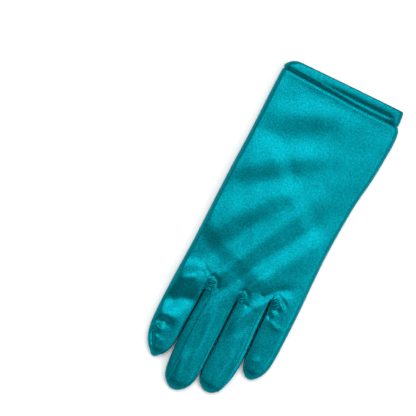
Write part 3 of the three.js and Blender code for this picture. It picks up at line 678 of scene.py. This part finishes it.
# Folds of the thumb's underside, as (reach, side) lines of the tube: crests, then hollows
thumbFolds = [
    ([(0.24, -0.75), (0.3, 0.7)], 0.85, 0.06),
    ([(0.42, 0.1), (0.72, -0.45)], 0.75, 0.05),
    ([(0.42, 0.1), (0.86, 0.4)], 0.75, 0.05),
    ([(0.5, 0.75), (0.75, 0.6)], 0.55, 0.05),
    ([(0.9, -0.8), (1.02, 0.6)], 0.65, 0.05),
    ([(0.36, -0.8), (0.38, 0.6)], -0.6, 0.05),
    ([(0.55, 0.0), (0.84, -0.02)], -0.7, 0.055),
    ([(1.1, -0.7), (1.12, 0.7)], -0.5, 0.06),
]


# Columns round the tube: the angle where each meets the mouth, its side from -1 to 1, how far it
# bulges at the tube's two edges, and its height from 0 below to 1 above
def thumbColumns():
    columns = []
    for upper, start, turn in ((True, -90, 144), (False, 78, 168)):
        way = 1 if upper else -1
        for t in np.linspace(0, 1, thumbCloth["flatSteps"] + 1):
            columns.append((start + turn * t, way * (2 * t - 1), 0, upper * 1.0))
        for t in np.linspace(0, 1, thumbCloth["edgeSteps"] + 2)[1:-1]:
            height = (1 + way * math.cos(math.pi * t)) / 2
            columns.append((start + turn + 24 * t, way, math.sin(math.pi * t), height))
    columns.append((270, *columns[0][1:]))
    return np.array(columns).T


def thumbGrid():
    angle, side, bulge, height = thumbColumns()
    span = thumbCloth["foldSpan"]
    folds = [([(a, b * span) for a, b in line], rise, width) for line, rise, width in thumbFolds]
    radius, floorZ = thumbCloth["round"], thumbCloth["floor"]

    def tubeRow(reach):
        edge, far = np.array(tubePoint(reach, side)), np.array(tubePoint(reach, -side))
        width = np.hypot(*(edge - far)) + 1e-9
        x, along = mix(edge, far, np.minimum((1 - bulge) * radius / width, 0.5))
        lower = 1 - height
        closer = np.clip((2.1 - reach) / 0.5, 0, 1) ** 0.5
        swell = foldField(reach + placeShift[0] + 0 * side, side * span + placeShift[1], folds)
        inside = 1 - np.abs(side) ** 6
        z = floorZ + radius * (1 + (2 * height - 1) * closer)
        z = z + (thumbCloth["hollow"] - swell) * lower * inside * closer
        return np.stack([x, along, z], 1)

    first = thumbCloth["firstReach"]
    foot = tubeRow(first)
    mouth = np.stack([*mouthPoint(np.radians(angle), -0.2), foot[:, 2]], 1)
    top = mouth.copy()
    top[:, 2] = floorZ + 2 * radius + 0.25
    rows = [top]
    for share in np.linspace(0, 1, thumbCloth["mouthSteps"])[:-1]:
        row = mix(mouth, foot, share)
        row[:, 2] = mix(top[:, 2], foot[:, 2], smooth(share, -0.1, 0.6))
        rows.append(row)
    rows += [tubeRow(reach) for reach in evenly(first, 1, thumbCloth["reachStep"])]
    rows += [tubeRow(1 + math.sin(t)) for t in np.linspace(0, math.pi / 2, thumbCloth["tipSteps"])[1:]]
    return np.array(rows)


# A thin round welt along a line of points
def weltGrid(line, radius, sides):
    line = np.asarray(line, float)
    way = np.gradient(line, axis=0)
    way /= np.linalg.norm(way, axis=1, keepdims=True)
    across = np.cross(way, (0, 0, 1))
    across /= np.linalg.norm(across, axis=1, keepdims=True)
    up = np.cross(across, way)
    turn = np.linspace(0, 2 * math.pi, sides + 1)[None, :, None]
    return line[:, None] + radius * (across[:, None] * np.cos(turn) + up[:, None] * np.sin(turn))


def mouthWelt():
    angle = np.linspace(0, 2 * math.pi, thumbCloth["weltSteps"] + 1)
    x, along = mouthPoint(angle, 0.1)
    z = glove["thumbLift"] - 0.1 + 0 * angle
    return weltGrid(np.stack([x, along, z], 1), thumbCloth["weltRadius"], thumbCloth["weltSides"])


print("thumb")
thumb = sheetsOf("thumb_cloth", [(thumbGrid(), True), (mouthWelt(), False)])


# Thread: the hem's stitches and the seam down the little finger's side

thread = {
    "pitch": 2.3, "length": 1.5, "radius": 0.16, "inset": 0.1, "margin": (2.5, 2.0),
    "row": 11.0,  # where the row's ends are taken from the hand's edges, and its height
    "heightRow": 10.4,
    "sink": 0.73,  # how deep a stitch's ends lie in the groove, and how far it arches between them
    "arch": 0.3,
    "lowest": 0.2,
    "seamRadius": 0.34, "seamBeat": 0.22, "seamPitch": 1.7, "seamInset": 0.12,
    "seamEnds": (12.5, 12.0),
}


def stitchGrids():
    grids = []
    t = np.linspace(-1, 1, 9)
    sunk = thread["sink"] - thread["arch"] * (1 - t ** 2)
    radius = thread["radius"] * np.sqrt(np.maximum(1 - t ** 4, 0.02))
    left, right = leftEdge(thread["row"]), rightEdge(thread["row"])
    for upper in (True, False):
        for x in np.arange(left + thread["margin"][0], right - thread["margin"][1], thread["pitch"]):
            at = x + t * thread["length"] / 2
            k = int(np.searchsorted(forkShare, (x - left) / (right - left)))
            z = heightAt(k, at, thread["heightRow"] + 0 * at, upper)
            z = z - sunk if upper else np.maximum(z + sunk, thread["lowest"])
            line = np.stack([at, hemLine(at) - thread["inset"], z], 1)
            grids.append((weltGrid(line, radius[:, None, None], 6), False))
    return grids


def sideSeam():
    start, end = thread["seamEnds"]
    along = evenly(start, fingers[3]["tipAlong"] - end, 0.4)
    x = laneSide(3, 1, along)[0]
    line = np.stack([x - thread["seamInset"], along, heightAt(3, x, along, True)], 1)
    beat = 1 + thread["seamBeat"] * np.sin(2 * math.pi * along / thread["seamPitch"])
    return weltGrid(line, (thread["seamRadius"] * beat)[:, None, None], 8)


print("thread")
stitches = sheetsOf("hem_stitches", stitchGrids())
seam = sheetsOf("side_seam", [(sideSeam(), False)])


# Camera, floor and light

studio = {
    "aim": (-0.0452, 0.0021, 0.005),
    "turn": 26.108,  # degrees, as the glove lies in the picture
    "frameWidth": 0.2764,
    "lens": 380,
    "key": (-0.35, 1.7, 4.7),
    "keySize": 3.4,
    "keyPower": 184.0,
    "fill": (1.9, 0.1, 2.3),
    "fillSize": 1.9,
    "fillPower": 34.0,
    "skyAbove": 0.12,  # the sky is dim overhead and bright around
    "skyAround": 1.05,
    "skyHeights": (0.4, 0.9),
    "floor": (0.92, 0.92, 0.92, 1),
    "floorReach": 3,
}

camera = bpy.data.objects.new("camera", bpy.data.cameras.new("camera"))
bpy.context.scene.collection.objects.link(camera)
camera.data.lens = studio["lens"]
distance = studio["frameWidth"] * studio["lens"] / camera.data.sensor_width
camera.location = Vector(studio["aim"]) + Vector((0, 0, distance))
camera.rotation_euler = (0, 0, math.radians(studio["turn"]))
camera.data.clip_start, camera.data.clip_end = 0.01, 10
bpy.context.scene.camera = camera


def softLight(name, place, size, power):
    light = bpy.data.objects.new(name, bpy.data.lights.new(name, "AREA"))
    light.data.size, light.data.energy = size, power
    light.location = place
    light.rotation_euler = (-Vector(place)).to_track_quat("-Z", "Y").to_euler()
    bpy.context.scene.collection.objects.link(light)


softLight("key_light", studio["key"], studio["keySize"], studio["keyPower"])
softLight("fill_light", studio["fill"], studio["fillSize"], studio["fillPower"])
world = bpy.data.worlds.new("studio")
world.use_nodes = True
sky, skyLinks = world.node_tree.nodes, world.node_tree.links
sky["Background"].inputs["Color"].default_value = (1, 1, 1, 1)
skyward = sky.new("ShaderNodeSeparateXYZ")
skyLinks.new(sky.new("ShaderNodeTexCoord").outputs["Generated"], skyward.inputs["Vector"])
dimming = sky.new("ShaderNodeMapRange")
dimming.interpolation_type = "SMOOTHSTEP"
dimming.inputs["From Min"].default_value = studio["skyHeights"][0]
dimming.inputs["From Max"].default_value = studio["skyHeights"][1]
dimming.inputs["To Min"].default_value = studio["skyAround"]
dimming.inputs["To Max"].default_value = studio["skyAbove"]
skyLinks.new(skyward.outputs["Z"], dimming.inputs["Value"])
skyLinks.new(dimming.outputs["Result"], sky["Background"].inputs["Strength"])
bpy.context.scene.world = world
bpy.context.scene.view_settings.view_transform = "Standard"

reach = studio["floorReach"]
corners = [(-reach, -reach, 0), (reach, -reach, 0), (reach, reach, 0), (-reach, reach, 0)]
floor = meshOf("floor", corners, [(0, 1, 2, 3)])
floorPaint = bpy.data.materials.new("floor_paint")
floorPaint.use_nodes = True
paint = floorPaint.node_tree.nodes["Principled BSDF"]
paint.inputs["Base Color"].default_value = studio["floor"]
paint.inputs["Roughness"].default_value = 0.9
floor.data.materials.append(floorPaint)


# Satin

def groupOf(name, inputs, outputs):
    group = bpy.data.node_groups.new(name, "ShaderNodeTree")
    for title, kind, value in inputs:
        socket = group.interface.new_socket(name=title, in_out="INPUT", socket_type=kind)
        socket.default_value = value
    for title, kind in outputs:
        group.interface.new_socket(name=title, in_out="OUTPUT", socket_type=kind)
    nodes, links = group.nodes, group.links
    return group, nodes, links, nodes.new("NodeGroupInput"), nodes.new("NodeGroupOutput")


def mathNode(nodes, links, operation, a, b, clamp=False):
    node = nodes.new("ShaderNodeMath")
    node.operation, node.use_clamp = operation, clamp
    for socket, value in zip(node.inputs, (a, b)):
        if isinstance(value, (int, float)):
            socket.default_value = value
        else:
            links.new(value, socket)
    return node.outputs[0]


weaveLook = {
    "threads": 1500.0,  # sizes are counts to the metre
    "glints": 1100.0,
    "stretch": 0.35,
    "contrast": 4.2,
    "dyeClouds": 45.0,
}


# Fine weave: floats of thread lying along the glove, as a height and a mask of the glints on them
def weaveGroup():
    group, nodes, links, given, result = groupOf(
        "satin_weave",
        [("Threads", "NodeSocketFloat", weaveLook["threads"]),
         ("Glints", "NodeSocketFloat", weaveLook["glints"])],
        [("Height", "NodeSocketFloat"), ("Glint", "NodeSocketFloat")])
    places = nodes.new("ShaderNodeTexCoord").outputs["Object"]
    stretch = nodes.new("ShaderNodeMapping")
    stretch.inputs["Scale"].default_value = (1.0, weaveLook["stretch"], 1.0)
    links.new(places, stretch.inputs["Vector"])
    floats = nodes.new("ShaderNodeTexVoronoi")
    floats.feature = "F1"
    links.new(stretch.outputs["Vector"], floats.inputs["Vector"])
    links.new(given.outputs["Threads"], floats.inputs["Scale"])
    height = mathNode(nodes, links, "SUBTRACT", 1.0, floats.outputs["Distance"])
    links.new(height, result.inputs["Height"])
    glints = nodes.new("ShaderNodeTexNoise")
    glints.inputs["Detail"].default_value = 2.0
    glints.inputs["Roughness"].default_value = 0.7
    links.new(places, glints.inputs["Vector"])
    links.new(given.outputs["Glints"], glints.inputs["Scale"])
    contrast = mathNode(nodes, links, "SUBTRACT", glints.outputs["Fac"], 0.5)
    contrast = mathNode(nodes, links, "MULTIPLY", contrast, weaveLook["contrast"])
    links.new(mathNode(nodes, links, "ADD", contrast, 0.5, True), result.inputs["Glint"])
    return group


# Slow changes of dye and gloss over the cloth
def dyeGroup():
    group, nodes, links, given, result = groupOf(
        "satin_dye", [("Clouds", "NodeSocketFloat", weaveLook["dyeClouds"])],
        [("Shade", "NodeSocketFloat")])
    places = nodes.new("ShaderNodeTexCoord").outputs["Object"]
    clouds = nodes.new("ShaderNodeTexNoise")
    clouds.inputs["Detail"].default_value = 4.0
    links.new(places, clouds.inputs["Vector"])
    links.new(given.outputs["Clouds"], clouds.inputs["Scale"])
    links.new(clouds.outputs["Fac"], result.inputs["Shade"])
    return group


weave, dye = weaveGroup(), dyeGroup()

satinLook = {
    "deep": (0.0003, 0.088, 0.116, 1),
    "light": (0.0006, 0.232, 0.274, 1),
    "metallic": 0.95,
    "roughness": (0.35, 0.44),
    "bump": 0.22,
    "bumpDepth": 0.00012,
    "glintShare": 0.65,  # how far the glints and the dye clouds lighten the colour
    "dyeShare": 0.35,
    "edgeTint": (0.12, 0.85, 0.9, 1),
    "sheen": 0.03,
    "sheenTint": (0.0, 0.85, 0.9, 1),
}


def mixColour(nodes, links, share, a, b):
    node = nodes.new("ShaderNodeMix")
    node.data_type = "RGBA"
    links.new(share, node.inputs["Factor"])
    node.inputs["A"].default_value, node.inputs["B"].default_value = a, b
    return node.outputs["Result"]


# Scales the satin's two colours. For the threads this is their own tone. For the hem and thumb it is
# painted shade, and for the fourchettes a painted sheen, on the same cloth as the hand.
def satinOf(name, toneAndPaintedLight=1.0, glints=weaveLook["glints"], gloss=0.0):
    material = bpy.data.materials.new(name)
    material.use_nodes = True
    nodes, links = material.node_tree.nodes, material.node_tree.links
    cloth = nodes["Principled BSDF"]
    threads, shades = nodes.new("ShaderNodeGroup"), nodes.new("ShaderNodeGroup")
    threads.node_tree, shades.node_tree = weave, dye
    threads.inputs["Glints"].default_value = glints
    shade = mathNode(nodes, links, "MULTIPLY", shades.outputs["Shade"], satinLook["dyeShare"])
    share = mathNode(nodes, links, "MULTIPLY", threads.outputs["Glint"], satinLook["glintShare"])
    share = mathNode(nodes, links, "ADD", share, shade, True)
    deep, light = (tuple(c * toneAndPaintedLight for c in satinLook[key][:3]) + (1,) for key in ("deep", "light"))
    links.new(mixColour(nodes, links, share, deep, light), cloth.inputs["Base Color"])
    rough = nodes.new("ShaderNodeMapRange")
    rough.inputs["To Min"].default_value = satinLook["roughness"][0] + gloss
    rough.inputs["To Max"].default_value = satinLook["roughness"][1] + gloss
    links.new(shades.outputs["Shade"], rough.inputs["Value"])
    links.new(rough.outputs["Result"], cloth.inputs["Roughness"])
    bump = nodes.new("ShaderNodeBump")
    bump.inputs["Strength"].default_value = satinLook["bump"]
    bump.inputs["Distance"].default_value = satinLook["bumpDepth"]
    links.new(threads.outputs["Height"], bump.inputs["Height"])
    links.new(bump.outputs["Normal"], cloth.inputs["Normal"])
    cloth.inputs["Metallic"].default_value = satinLook["metallic"]
    cloth.inputs["Specular Tint"].default_value = satinLook["edgeTint"]
    cloth.inputs["Sheen Weight"].default_value = satinLook["sheen"]
    cloth.inputs["Sheen Tint"].default_value = satinLook["sheenTint"]
    return material


print("satin")
dressed = [
    (hand, "satin_hand", satinOf("satin_of_hand")),
    # the hem's satin is darkened: painted shade over the folded band
    (band, "satin_hem", satinOf("satin_of_hem", 0.84)),
    # the thumb's satin is darkened: painted shade for its sheen turned away from the light
    (thumb, "satin_thumb", satinOf("satin_of_thumb", 0.9, 900.0, -0.06)),
    (stitches, "satin_hem", satinOf("thread_of_hem", 0.8)),
    (seam, "satin_hand", satinOf("thread_of_seam", 1.1)),
]
# the fourchettes' satin is lightened: a painted sheen on the strips
stripSatin = satinOf("satin_of_fourchettes", 1.04)
dressed += [(piece, "satin_fourchette", stripSatin) for _, piece in fourchettes]
for piece, slotName, material in dressed:
    piece.data.materials.append(material)
    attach(piece, "root")
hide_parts("hand_shell")
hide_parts("cuff_hem")
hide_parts("thumb")
for node, piece in fourchettes:
    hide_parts(node)
